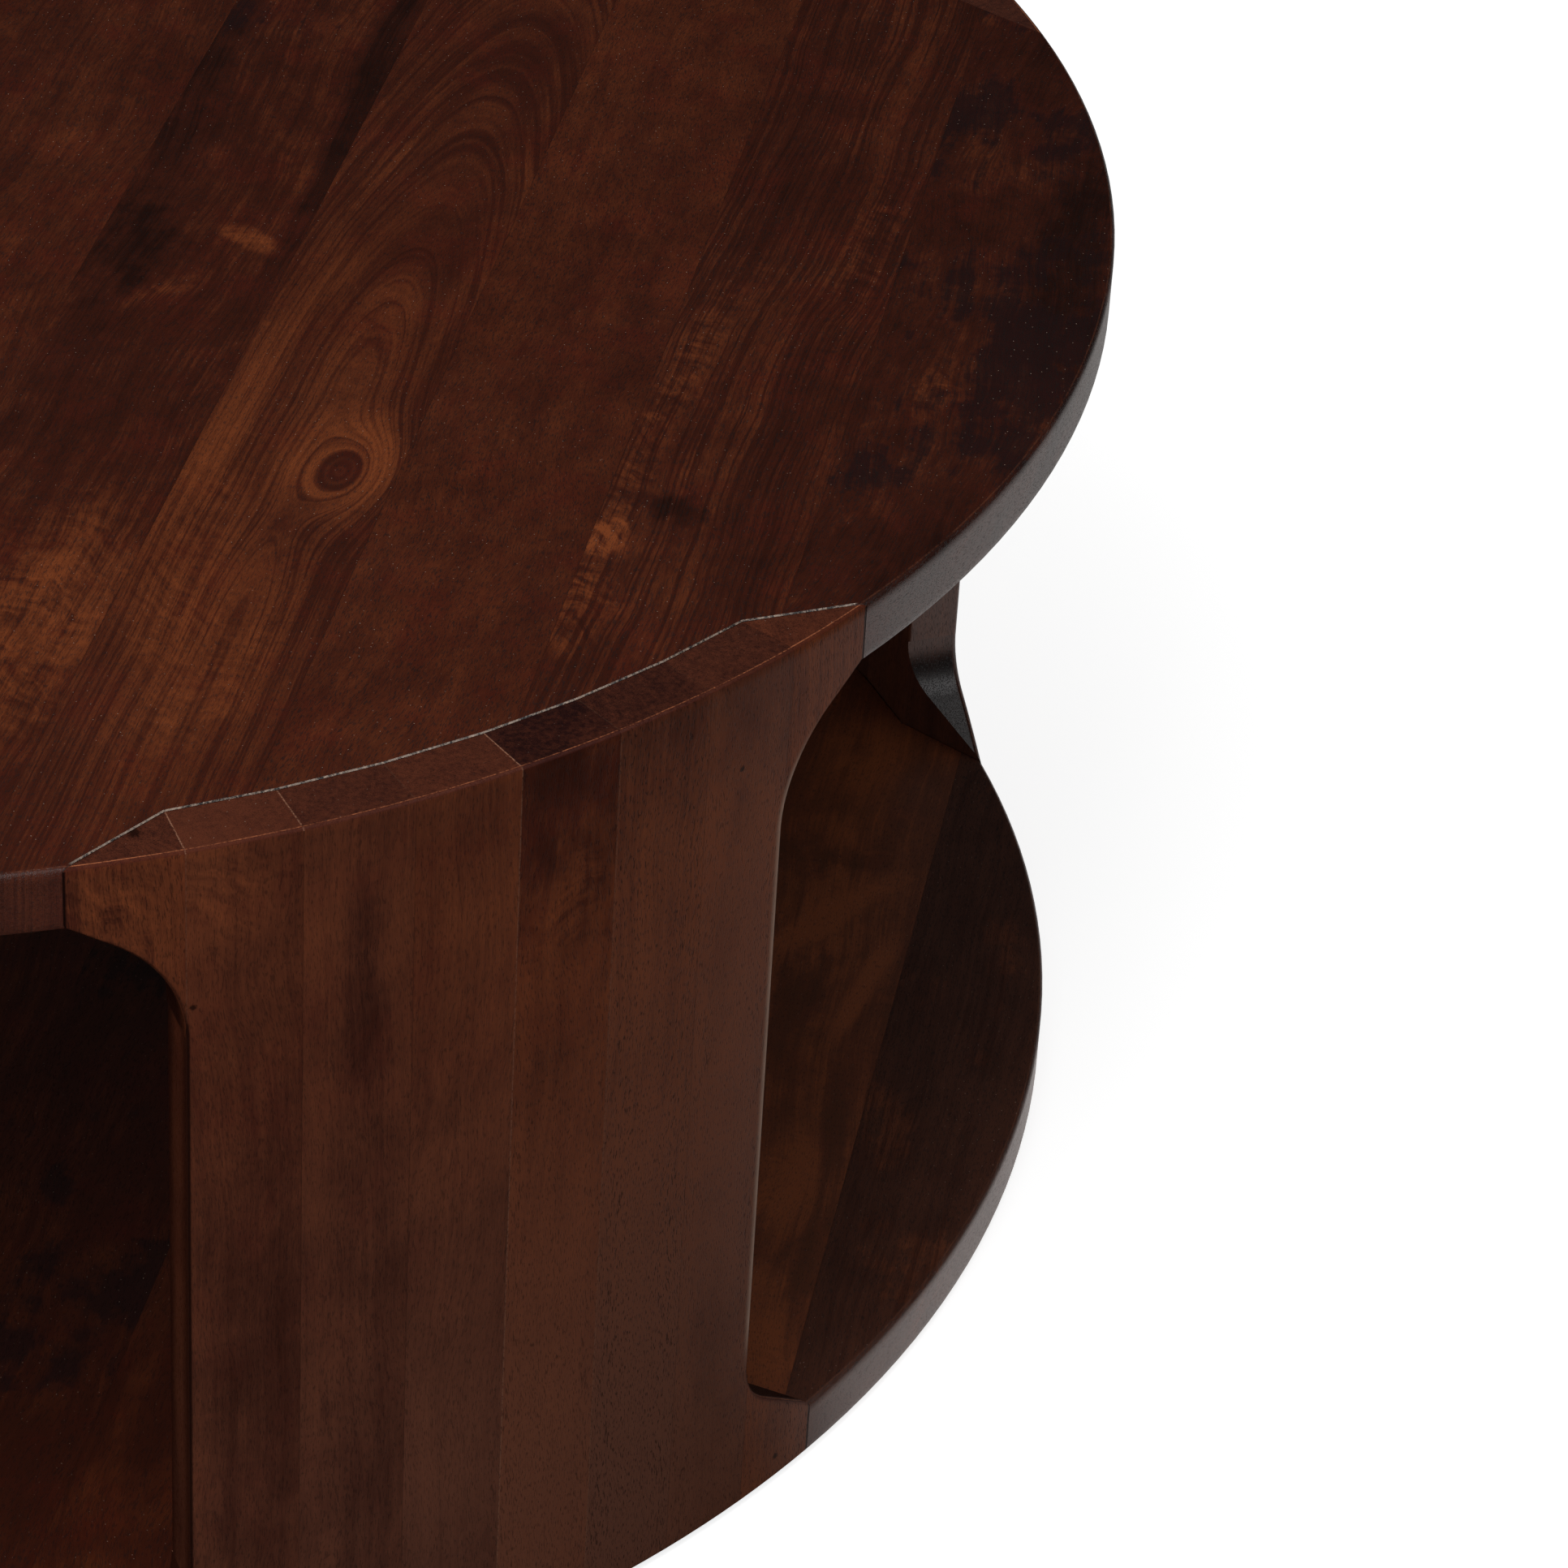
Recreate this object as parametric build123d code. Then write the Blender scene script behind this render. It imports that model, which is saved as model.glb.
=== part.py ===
"""Round two-tier drum table in solid wood.

A round top and a round shelf of the same size are glued up from straight boards.
Four curved slab legs stand in notches in both rims, flush with their rims and faces.
Each leg is coopered: six full staves make its waist, and at each of its four corners a
short ear flares out to the tip of the notch. Dowels tie the legs to the top and the
shelf, and nail-on glides stand under the legs.

Millimetres and degrees. +Z is up, and the origin is on the floor under the centre.
The front is -Y, and the boards of the top and the shelf run along Y.
"""
import os
from math import atan2, cos, degrees, hypot, radians, sin, tan

from build123d import *

# Overall
table_radius = 533.4
wood_height = 406.4
board_thickness = 25.4

# Boards of each round: how many, how far apart their seams are, and where one seam lies
top_boards = 13
top_board_width = 79.0
top_seam_x = 53.0
shelf_boards = 12
shelf_board_width = 88.3
shelf_seam_x = 24.5

# Coopered legs
leg_places = {"back_right": 45, "back_left": 135, "front_left": 225, "front_right": 315}
waist_staves = 6
stave_width = 42.5
stave_thickness = 25.4
notch_clearance = 0.3

# Ears: from its tip each slopes straight, then an arc runs into the side of the waist
upper_ear_slope = 31.0
upper_ear_radius = 52.0
lower_ear_slope = 35.0
lower_ear_radius = 30.0

# Softened edges
face_edge_chamfer = 1.5
under_edge_chamfer = 1.0
leg_edge_round = 2.0
leg_inner_round = 1.5
joint_chamfer = 0.5

# Dowels from the legs into both rounds, placed in staves from the middle of a leg
dowel_places = (-2.5, -0.5, 0.5, 2.5)
dowel_radius = 4.0
dowel_length = 40.0
dowel_depth_in_leg = 14.0
dowel_clearance = 0.1
dowel_end_clearance = 1.0

# Nail-on glides under the legs, placed in staves from the middle of a leg
glide_places = (-1.5, 1.5)
glide_radius = 10.0
glide_height = 3.0
glide_chamfer = 0.8
nail_radius = 1.25
nail_length = 16.0
nail_point = 3.0
nail_clearance = 0.1

# Worked out from the sizes above
shelf_under_z = glide_height
shelf_face_z = shelf_under_z + board_thickness
top_face_z = shelf_under_z + wood_height
top_under_z = top_face_z - board_thickness
stave_angle = degrees(stave_width / table_radius)
waist_half_angle = waist_staves / 2 * stave_angle
leg_half_angle = waist_half_angle + stave_angle
inner_flat_radius = table_radius - stave_thickness
inner_seam_radius = inner_flat_radius / cos(radians(stave_angle / 2))
leg_seam_angles = [stave_angle * i - waist_half_angle for i in range(waist_staves + 1)]
outside = 1.1 * table_radius


def polar(radius, angle):
    """Point in plan at a radius, at an angle from +X."""
    return (radius * cos(radians(angle)), radius * sin(radians(angle)))


def upright(plan, low_z, high_z):
    """Solid that stands on a plan between two heights."""
    return extrude(Pos(0, 0, low_z) * plan, high_z - low_z)


def leg_place_plan():
    """Plan of a leg in its notch: facets inside, then a slant out to each tip.

    It runs on past the rim, so that it bounds a leg on its inside and its slants only.
    """
    corners = [polar(inner_seam_radius, angle) for angle in leg_seam_angles]
    low_tip, high_tip = (polar(table_radius, a) for a in (-leg_half_angle, leg_half_angle))
    low_out, high_out = (polar(outside, a) for a in (-leg_half_angle, leg_half_angle))
    return make_face(Polyline(low_out, low_tip, *corners, high_tip, high_out, close=True))


def let_in(plan, low_z, high_z, widening):
    """Upright solid on a plan that widens or narrows by a chamfer at both its ends.

    widening is 1 for a cutter with flared mouths, and -1 for a piece with eased ends.
    """
    taper = -45 * widening
    low_mouth, high_mouth = low_z + joint_chamfer, high_z - joint_chamfer
    low_end = extrude(Pos(0, 0, low_mouth) * plan, joint_chamfer, dir=(0, 0, -1), taper=taper)
    high_end = extrude(Pos(0, 0, high_mouth) * plan, joint_chamfer, dir=(0, 0, 1), taper=taper)
    return upright(plan, low_mouth, high_mouth) + low_end + high_end


def inner_corner_cutter():
    """Slivers that turn the two inner corners of the waist into rounds."""
    corners = [polar(inner_seam_radius, angle) for angle in leg_seam_angles]
    rim = (polar(outside, angle) for angle in (waist_half_angle, -waist_half_angle))
    waist = make_face(Polyline(*corners, *rim, close=True))
    inner = waist.vertices().sort_by_distance((0, 0, 0))[:waist_staves + 1]
    sides = (inner.sort_by(Axis.Y)[0], inner.sort_by(Axis.Y)[-1])
    slivers = waist - fillet(sides, leg_inner_round)
    low_arc = ear_curve(shelf_face_z, lower_ear_slope, lower_ear_radius, -1)[0]
    high_arc = ear_curve(top_under_z, upper_ear_slope, upper_ear_radius, 1)[0]
    return upright(slivers, (low_arc @ 0).Y, (high_arc @ 0).Y)


def ear_curve(board_z, slope, radius, up):
    """Edge of an ear as lines in (across, z) about the seam beside the waist.

    up is 1 for an ear that rises to the top, and -1 for one that falls to the shelf.
    """
    tip_across = table_radius * sin(radians(stave_angle))
    end_across = 1.5 * tip_across
    slope_across = tip_across - radius * (1 - sin(radians(slope)))
    rise = radius * cos(radians(slope)) + slope_across * tan(radians(slope))
    end_z = board_z + up * (end_across - tip_across) * tan(radians(slope))
    arc = JernArc((0, board_z - up * rise), (0, up), radius, -up * (90 - slope))
    return arc, Line(arc @ 1, (end_across, end_z))


def opening_cutter():
    """Prism that clears the opening beside a leg, square to the side of its waist."""
    low_arc, low_slope = ear_curve(shelf_face_z, lower_ear_slope, lower_ear_radius, -1)
    high_arc, high_slope = ear_curve(top_under_z, upper_ear_slope, upper_ear_radius, 1)
    side = Line(low_arc @ 0, high_arc @ 0)
    far_side = Line(high_slope @ 1, low_slope @ 1)
    outline = make_face([side, high_arc, high_slope, far_side, low_slope, low_arc])
    x, y = polar(1, waist_half_angle)
    reach = 2 * stave_thickness
    start = Plane(
        origin=((table_radius - reach) * x, (table_radius - reach) * y, 0),
        x_dir=(-y, x, 0),
        z_dir=(x, y, 0),
    )
    return extrude(start * outline, 2 * reach)


def edges_on_rim(solid, low_z, high_z, half_angle):
    """Edges that lie on the outer face between two heights and near enough to +X."""
    found = []
    for edge in solid.edges():
        points = [edge @ 0, edge @ 0.5, edge @ 1]
        on_rim = all(abs(hypot(p.X, p.Y) - table_radius) < 0.01 for p in points)
        middle = points[1]
        turned = abs(degrees(atan2(middle.Y, middle.X)))
        if on_rim and low_z < middle.Z < high_z and turned < half_angle:
            found.append(edge)
    return found


def leg_slab():
    """A whole leg along +X, shaped, softened and let in, before it is parted.

    It is a wider slab at first, so that its softened edges run out past the tips.
    """
    wide = leg_half_angle + 0.3 * stave_angle
    arc = ThreePointArc(*(polar(table_radius, angle) for angle in (-wide, 0, wide)))
    corners = [polar(inner_seam_radius, angle) for angle in leg_seam_angles]
    low_in, high_in = (polar(inner_seam_radius, angle) for angle in (-wide, wide))
    inside = Polyline(arc @ 1, high_in, *reversed(corners), low_in, arc @ 0)
    slab = upright(make_face([arc, inside]), shelf_under_z, top_face_z)
    cutter = opening_cutter()
    slab -= cutter
    slab -= mirror(cutter, about=Plane.XZ)
    near = 0.01
    between = edges_on_rim(slab, shelf_under_z + near, top_face_z - near, wide - near)
    slab = fillet(between, leg_edge_round)
    above = edges_on_rim(slab, top_face_z - near, top_face_z + near, wide)
    slab = chamfer(above, face_edge_chamfer)
    below = edges_on_rim(slab, shelf_under_z - near, shelf_under_z + near, wide)
    slab = chamfer(below, under_edge_chamfer)
    slab -= inner_corner_cutter()
    return slab & let_in(leg_place_plan(), shelf_under_z, top_face_z, -1)


def between_seams(low_angle, high_angle):
    """Wedge about the table's axis between two upright planes."""
    plan = make_face(Polyline((0, 0), polar(outside, low_angle), polar(outside, high_angle),
                              close=True))
    return upright(plan, shelf_under_z, top_face_z)


def rod(radius, start_radius, end_radius, angle, z):
    """Round rod that points away from the table's axis."""
    turned = Rot(0, 0, angle) * Pos(start_radius, 0, z) * Rot(0, 90, 0)
    length = end_radius - start_radius
    return turned * Cylinder(radius, length, align=(Align.CENTER, Align.CENTER, Align.MIN))


def dowel_rods(extra_radius=0.0, extra_length=0.0):
    """Dowels of a leg along +X, or their holes when they are made a little larger."""
    start = inner_flat_radius + dowel_depth_in_leg - dowel_length - extra_length
    end = inner_flat_radius + dowel_depth_in_leg + extra_length
    heights = (shelf_under_z + board_thickness / 2, top_under_z + board_thickness / 2)
    radius = dowel_radius + extra_radius
    return [rod(radius, start, end, place * stave_angle, z)
            for place in dowel_places for z in heights]


def glide():
    """One glide on the origin: a round foot with its nail, turned in one piece."""
    top = glide_height + nail_length
    profile = Polyline(
        (0, 0),
        (glide_radius - glide_chamfer, 0),
        (glide_radius, glide_chamfer),
        (glide_radius, glide_height),
        (nail_radius, glide_height),
        (nail_radius, top - nail_point),
        (0, top),
        close=True,
    )
    return revolve(Plane.XZ * make_face(profile), Axis.Z)


def glide_spots():
    """Middles of the glides of a leg along +X."""
    middle = table_radius - stave_thickness / 2
    return [polar(middle, place * stave_angle) for place in glide_places]


def nail_holes():
    """Holes for the glides' nails in a leg along +X."""
    depth = nail_length + nail_clearance
    base = (Align.CENTER, Align.CENTER, Align.MIN)
    hole = Cylinder(nail_radius + nail_clearance, depth, align=base)
    return [Pos(x, y, shelf_under_z) * hole for x, y in glide_spots()]


def leg_parts():
    """Pieces of a leg along +X, as {name: solid or group of solids}."""
    slab = leg_slab()
    for hole in dowel_rods(dowel_clearance, dowel_end_clearance) + nail_holes():
        slab -= hole
    pieces = {}
    for number, (low, high) in enumerate(zip(leg_seam_angles, leg_seam_angles[1:]), 1):
        pieces[f"stave_{number}"] = slab & between_seams(low, high)
    ears = []
    for side in (-1, 1):
        ends = sorted((side * waist_half_angle, side * (leg_half_angle + stave_angle)))
        ears += (slab & between_seams(*ends)).solids()
    middle_z = (shelf_under_z + top_face_z) / 2
    pieces["upper_ears"] = Compound([e for e in ears if e.center().Z > middle_z])
    pieces["lower_ears"] = Compound([e for e in ears if e.center().Z < middle_z])
    return pieces


def round_board(under_z, face_z):
    """Whole round between two heights, with its edges softened, notched and bored."""
    section = Polyline(
        (0, under_z),
        (table_radius - under_edge_chamfer, under_z),
        (table_radius, under_z + under_edge_chamfer),
        (table_radius, face_z - face_edge_chamfer),
        (table_radius - face_edge_chamfer, face_z),
        (0, face_z),
        close=True,
    )
    disc = revolve(Plane.XZ * make_face(section), Axis.Z)
    notch_plan = offset(leg_place_plan(), notch_clearance, kind=Kind.INTERSECTION)
    cutter = let_in(notch_plan, under_z, face_z, 1)
    bores = [r for r in dowel_rods(dowel_clearance, dowel_end_clearance)
             if under_z < r.center().Z < face_z]
    for angle in leg_places.values():
        for tool in [cutter, *bores]:
            disc -= Rot(0, 0, angle) * tool
    return disc


def board_seams(count, width, seam_x):
    """X of the seams between the boards of a round. Its two outer boards take what is left."""
    before = (count - 1) // 2
    return [seam_x + width * (i - before) for i in range(count - 1)]


def boards(disc, seams, under_z, face_z):
    """Round parted into its boards, from -X to +X."""
    ends = [-outside, *seams, outside]
    parted = []
    for low_x, high_x in zip(ends, ends[1:]):
        middle = Pos((low_x + high_x) / 2, 0, (under_z + face_z) / 2)
        parted.append(disc & middle * Box(high_x - low_x, 2 * outside, face_z - under_z))
    return parted


def write(name, shape):
    export_step(shape, os.path.join("parts", name + ".step"))


os.makedirs("parts", exist_ok=True)

leg = leg_parts()
for leg_name, leg_angle in leg_places.items():
    for piece_name, piece in leg.items():
        write(f"{leg_name}_{piece_name}", Rot(0, 0, leg_angle) * piece)

top_seams = board_seams(top_boards, top_board_width, top_seam_x)
shelf_seams = board_seams(shelf_boards, shelf_board_width, shelf_seam_x)
rounds = (
    ("top", top_seams, top_under_z, top_face_z),
    ("shelf", shelf_seams, shelf_under_z, shelf_face_z),
)
for round_name, seams, low_z, high_z in rounds:
    whole = round_board(low_z, high_z)
    for number, board in enumerate(boards(whole, seams, low_z, high_z), 1):
        write(f"{round_name}_board_{number:02d}", board)

all_dowels = [Rot(0, 0, angle) * dowel for angle in leg_places.values() for dowel in dowel_rods()]
write("leg_dowels", Compound(all_dowels))
all_glides = [Rot(0, 0, angle) * Pos(x, y) * glide()
              for angle in leg_places.values() for x, y in glide_spots()]
write("glides", Compound(all_glides))
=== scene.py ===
"""Looks of the round two-tier drum table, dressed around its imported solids.

Metres. +Z is up, the front is towards -Y, boards run along Y and staves along Z.
Every wooden piece is a solid texture: its figure is worked out in space from the heart
of the log it was cut from, so that faces, edges and end grain agree with each other.
"""
from collections.abc import Callable
from dataclasses import dataclass
from math import cos, radians, sin, tan
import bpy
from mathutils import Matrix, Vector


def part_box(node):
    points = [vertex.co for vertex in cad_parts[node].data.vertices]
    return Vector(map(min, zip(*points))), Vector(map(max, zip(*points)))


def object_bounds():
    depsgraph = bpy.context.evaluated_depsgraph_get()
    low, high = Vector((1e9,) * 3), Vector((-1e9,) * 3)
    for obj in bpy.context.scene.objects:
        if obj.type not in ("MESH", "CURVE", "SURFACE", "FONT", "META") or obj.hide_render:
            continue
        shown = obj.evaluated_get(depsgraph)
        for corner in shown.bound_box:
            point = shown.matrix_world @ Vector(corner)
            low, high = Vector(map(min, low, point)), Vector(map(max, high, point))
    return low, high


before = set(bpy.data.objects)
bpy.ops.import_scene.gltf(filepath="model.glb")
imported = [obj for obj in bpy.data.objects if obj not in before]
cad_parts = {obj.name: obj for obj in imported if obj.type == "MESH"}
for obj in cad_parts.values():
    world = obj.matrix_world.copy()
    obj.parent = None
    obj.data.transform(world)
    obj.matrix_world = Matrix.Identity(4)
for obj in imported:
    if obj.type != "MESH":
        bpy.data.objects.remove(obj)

from types import SimpleNamespace

import bpy
from bpy.props import FloatProperty, FloatVectorProperty, PointerProperty
from bpy.types import Operator, Panel, PropertyGroup
from mathutils import Matrix, Vector

bl_info = {
    "name": "Drum table dresser",
    "version": (1, 0, 0),
    "blender": (4, 5, 0),
    "location": "3D View > Sidebar > Drum table",
    "description": "Stained wood, dowels, glides and stage of a round drum table",
    "category": "Object",
}

# The frame's own sizes
CAD_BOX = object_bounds()
TOP_Z = CAD_BOX[1][2]
TABLE_RADIUS = CAD_BOX[1][0]

# From the table's axis to the floor's sides
FLOOR_REACH = 12.0

# Polished faces show a painted bright patch of floor, glowing for reflections only, where y *
# first + x * second + third is above 0
BRIGHT_SIDE = (0.952, -0.307, 0.388)

# Strength of the even light where lacquer mirrors it
MIRRORED_SKY = 0.01

# Sizes that the solids have and the finishes need to know
LEG_ANGLES = {"back_right": 45, "back_left": 135, "front_left": 225, "front_right": 315}
WAIST_STAVES = 6
STAVE_WIDTH = 0.0425
STAVE_THICKNESS = 0.0254
EAR_WIDTH = 0.0437
UPPER_EAR_RADIUS = 0.052
UPPER_EAR_START = 0.3291
STAVE_ANGLE = STAVE_WIDTH / TABLE_RADIUS
STAVE_MIDDLE_RADIUS = TABLE_RADIUS - STAVE_THICKNESS / 2
RIM_CHAMFER = 0.0015

# How far the rim's rubbed edges reach inwards, down from the upper one, up from the lower
ROUND_INWARD = 0.0035
ROUND_UPPER = 0.0065
ROUND_LOWER = 0.0040

# The figure: a knot's length by its width, the size up to which a patch is fully ragged,
# the least depth of a log's heart, and how far noise of three sizes makes the grain stray
KNOT_LENGTH = 1.9
FRAYED_SIZE = 0.03
LEAST_DEPTH = 0.004
COARSE_STRAY = 0.038
RIPPLE_STRAY = 0.010
CLOUD_STRAY = 0.0007

# Where marks begin and are full, in metres
# Painted sheen: an upright piece's foot is greyer, as if it mirrored the floor
FOOT = (0.05, 0.38)  # height over which an upright piece loses the grey of its foot
GLUE_LINE = (0.0001, 0.0004)  # beside a joint
GLUE_WANDER = 0.0003
MIDDLE = 0.0001  # half the width over which a piece's left side becomes its right one
CHAMFER_END = (0.0013, 0.0016)  # inwards from the rim
EDGE_LINE = (0.0001, 0.0004)  # beside the rim's upper edge
EDGE_WANDER = 0.0004
NOTCH_START = (0.0022, 0.0032)  # inwards from the rim
TIP_GAP = (0.0004, 0.0013)  # short of an ear's full width
LIT_EDGE = (0.0012, 0.0052)  # from the opening's outline
LIT_FROM = (0.07, 0.10)  # heights at which its lit edge begins and ends
LIT_TO = (0.348, 0.375)
DUST_SIZE = (0.013, 0.030)  # in cells of the dust's pattern

# Scales of the noise, in bumps to the metre
COARSE_SCALE = (6.0, 6.0, 3.6)
RIPPLE_SCALE = (24.0, 24.0, 13.0)
CLOUD_SCALE = (75.0, 75.0, 45.0)
CURL_SCALE = 80.0
PATCHY_SCALE = (38.0, 38.0, 26.0)
WORN_SCALE = (45.0, 45.0, 30.0)
DUST_SCALE = (115.0,) * 3
NYLON_SCALE = (400.0,) * 3
GRIT_SCALE = (420.0,) * 3
DASH_SCALE = (620.0,) * 3
SPECK_SCALE = (900.0,) * 3


class Value:
    """A number socket. Arithmetic on it adds Math nodes."""

    def __init__(self, shader, socket):
        self.shader = shader
        self.socket = socket

    def math(self, operation, *others):
        inputs = {i: value for i, value in enumerate((self, *others))}
        return self.shader.node("ShaderNodeMath", {"operation": operation}, inputs)

    def __add__(self, other):
        return self.math("ADD", other)

    __radd__ = __add__

    def __sub__(self, other):
        return self.math("SUBTRACT", other)

    def __rsub__(self, other):
        return (self * -1.0) + other

    def __mul__(self, other):
        return self.math("MULTIPLY", other)

    __rmul__ = __mul__

    def __truediv__(self, other):
        return self.math("DIVIDE", other)

    def __pow__(self, other):
        return self.math("POWER", other)

    def __abs__(self):
        return self.math("ABSOLUTE")

    def root(self):
        return self.math("SQRT")

    def exp(self):
        return self.math("EXPONENT")

    def sine(self):
        return self.math("SINE")

    def most(self, other):
        """The larger of the two."""
        return self.math("MAXIMUM", other)

    def step(self, low, high):
        """0 below low and 1 above high, with a smooth rise between them."""
        return self.shader.node(
            "ShaderNodeMapRange",
            {"interpolation_type": "SMOOTHSTEP"},
            {"Value": self, "From Min": low, "From Max": high},
        )


class Shader:
    """The node tree of a material or world. Its methods return Values."""

    def __init__(self, owner):
        owner.use_nodes = True
        self.tree = owner.node_tree
        self.tree.nodes.clear()

    def node(self, kind, settings=None, inputs=None, output=0):
        """Adds a node, makes its settings, then fills or links its sockets."""
        made = self.tree.nodes.new(kind)
        for name, value in (settings or {}).items():
            setattr(made, name, value)
        for key, value in (inputs or {}).items():
            if isinstance(value, Value):
                self.tree.links.new(value.socket, made.inputs[key])
            else:
                made.inputs[key].default_value = value
        return Value(self, made.outputs[output]) if made.outputs else None

    def vector(self, x, y, z):
        """Vector of three numbers."""
        return self.node("ShaderNodeCombineXYZ", None, {0: x, 1: y, 2: z})

    def parts(self, vector):
        """The three numbers of a vector."""
        split = self.tree.nodes.new("ShaderNodeSeparateXYZ")
        self.tree.links.new(vector.socket, split.inputs[0])
        return [Value(self, output) for output in split.outputs]

    def scaled(self, vector, factors):
        """Vector with each of its parts multiplied by its own factor."""
        return self.node(
            "ShaderNodeVectorMath", {"operation": "MULTIPLY"}, {0: vector, 1: factors}
        )

    def noise(self, vector, detail=2.0, roughness=0.5):
        """Smooth noise about a half, one unit of the vector apart."""
        return self.node(
            "ShaderNodeTexNoise",
            {"noise_dimensions": "3D"},
            {"Vector": vector, "Scale": 1.0, "Detail": detail, "Roughness": roughness},
        )

    def blend(self, factor, first, second):
        """Colour between two colours, each a socket or four numbers."""
        return self.node(
            "ShaderNodeMix", {"data_type": "RGBA", "clamp_factor": True},
            {0: factor, 6: first, 7: second}, output=2)


def linear(red, green, blue):
    """Scene colour of a screen colour from 0 to 255."""
    return tuple(((c / 255 + 0.055) / 1.055) ** 2.4 if c > 10 else c / 255 / 12.92
                 for c in (red, green, blue))


def colour_prop(name, description, screen):
    return FloatVectorProperty(
        name=name, description=description, subtype="COLOR", size=3, min=0.0, max=1.0,
        default=linear(*screen))


def length_prop(name, description, metres):
    return FloatProperty(
        name=name, description=description, default=metres, unit="LENGTH", subtype="DISTANCE")


def number_prop(name, description, value):
    return FloatProperty(name=name, description=description, default=value)


def angle_prop(name, description, degrees):
    return FloatProperty(
        name=name, description=description, default=radians(degrees), unit="ROTATION",
        subtype="ANGLE")


class DRUMTABLE_PG_stain(PropertyGroup):
    dark: colour_prop("Dark grain", "Stain in the densest wood", (36, 14, 8))
    brown: colour_prop("Brown", "Stain in plain wood", (69, 28, 15))
    amber: colour_prop("Amber", "Stain where the wood is open or curly", (134, 67, 31))
    red: colour_prop("Red brown", "Stain where the wood drinks it unevenly", (80, 26, 15))
    plum: colour_prop("Plum", "Cool stain of the darkest boards", (36, 18, 18))
    grey: colour_prop("Grey brown", "Stain in the palest, coolest staves", (98, 61, 47))
    # Grey brown also paints the floor's sheen on the staves' feet and, in part, on the palest
    # staves
    end: colour_prop("End grain", "Stain in the ends of the staves", (92, 47, 32))
    # The pores' stain also paints the shade in the notches' grooves
    pore: colour_prop("Pores", "Stain that settled in the pores", (14, 6, 5))
    # Worn edge also paints the highlight along the rims' upper edges
    worn: colour_prop("Worn edge", "Finish rubbed thin along edges", (178, 106, 70))
    glue: colour_prop("Glue line", "Pale line of glue in a seam", (158, 112, 88))
    rubbed: colour_prop("Rubbed rim", "Stain rubbed thin round the rim", (112, 54, 36))
    # Bare edge is the pale of chipped edges and of dust, and also paints the highlights on the
    # notches and on the legs' lit edge
    pale_and_highlight: colour_prop("Bare edge", "Finish chipped off the notches' edges", (198, 172, 152))


class DRUMTABLE_PG_grain(PropertyGroup):
    fibre_width: length_prop("Fibre width", "Width of the fine streaks", 0.0008)
    fibre_length: length_prop("Fibre length", "Length of the fine streaks", 0.0065)
    pore_width: length_prop("Pore width", "Width of a pore", 0.00045)
    pore_length: length_prop("Pore length", "Length of a pore along the grain", 0.0028)
    band_width: length_prop("Band width", "Width of the broad bands of growth", 0.012)
    ring_width: length_prop("Vein width", "Distance between growth lines", 0.0030)
    hair_width: length_prop("Hair width", "Width of the finest growth lines", 0.0010)
    curl_width: length_prop("Curl width", "Distance between ripples across the grain", 0.006)
    blotch_size: length_prop("Blotch size", "Size of the uneven patches of stain", 0.085)
    seam_width: length_prop("Seam width", "Width of the line in a glued joint", 0.0003)
    relief: length_prop("Relief", "Depth of the open grain", 0.00012)
    roughness: number_prop("Roughness", "Roughness of the satin lacquer", 0.34)


class DRUMTABLE_PG_stage(PropertyGroup):
    distance: length_prop("Camera distance", "From the table's axis", 2.1202)
    height: length_prop("Camera height", "Above the floor", 1.51796)
    side: angle_prop("Camera side", "Turn about the table's axis from the front", 19.17)
    pan: angle_prop("Pan", "Turn of the view away from the axis", 11.217)
    pitch: angle_prop("Pitch", "Tilt of the view below the horizon", 33.838)
    roll: angle_prop("Roll", "Turn of the camera about its view", 3.637)
    lens: FloatProperty(name="Lens", description="Focal length in millimetres", default=131.25)
    key: number_prop("Key lamp", "Power of the large soft lamp in watts", 60.0)
    fill: number_prop("Fill lamp", "Power of the fill lamp in watts", 4.0)
    gleam: number_prop("Gleam lamp", "Power of the lamp that only shows as highlights", 9.0)
    sky: number_prop("Sky", "Strength of the even light from all round", 0.27)


@dataclass
class Patch:
    """Soft-edged patch in a piece's figure.

    across, along, wide, long: its middle and half sizes from the piece's middle
    light: how much lighter it is; curl: how strongly ripples cross it
    slope: its drift across for each metre along; tilt: its drift along for each metre across
    """

    across: float
    along: float
    wide: float
    long: float
    light: float = 0.0
    curl: float = 0.0
    slope: float = 0.0
    tilt: float = 0.0


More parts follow.
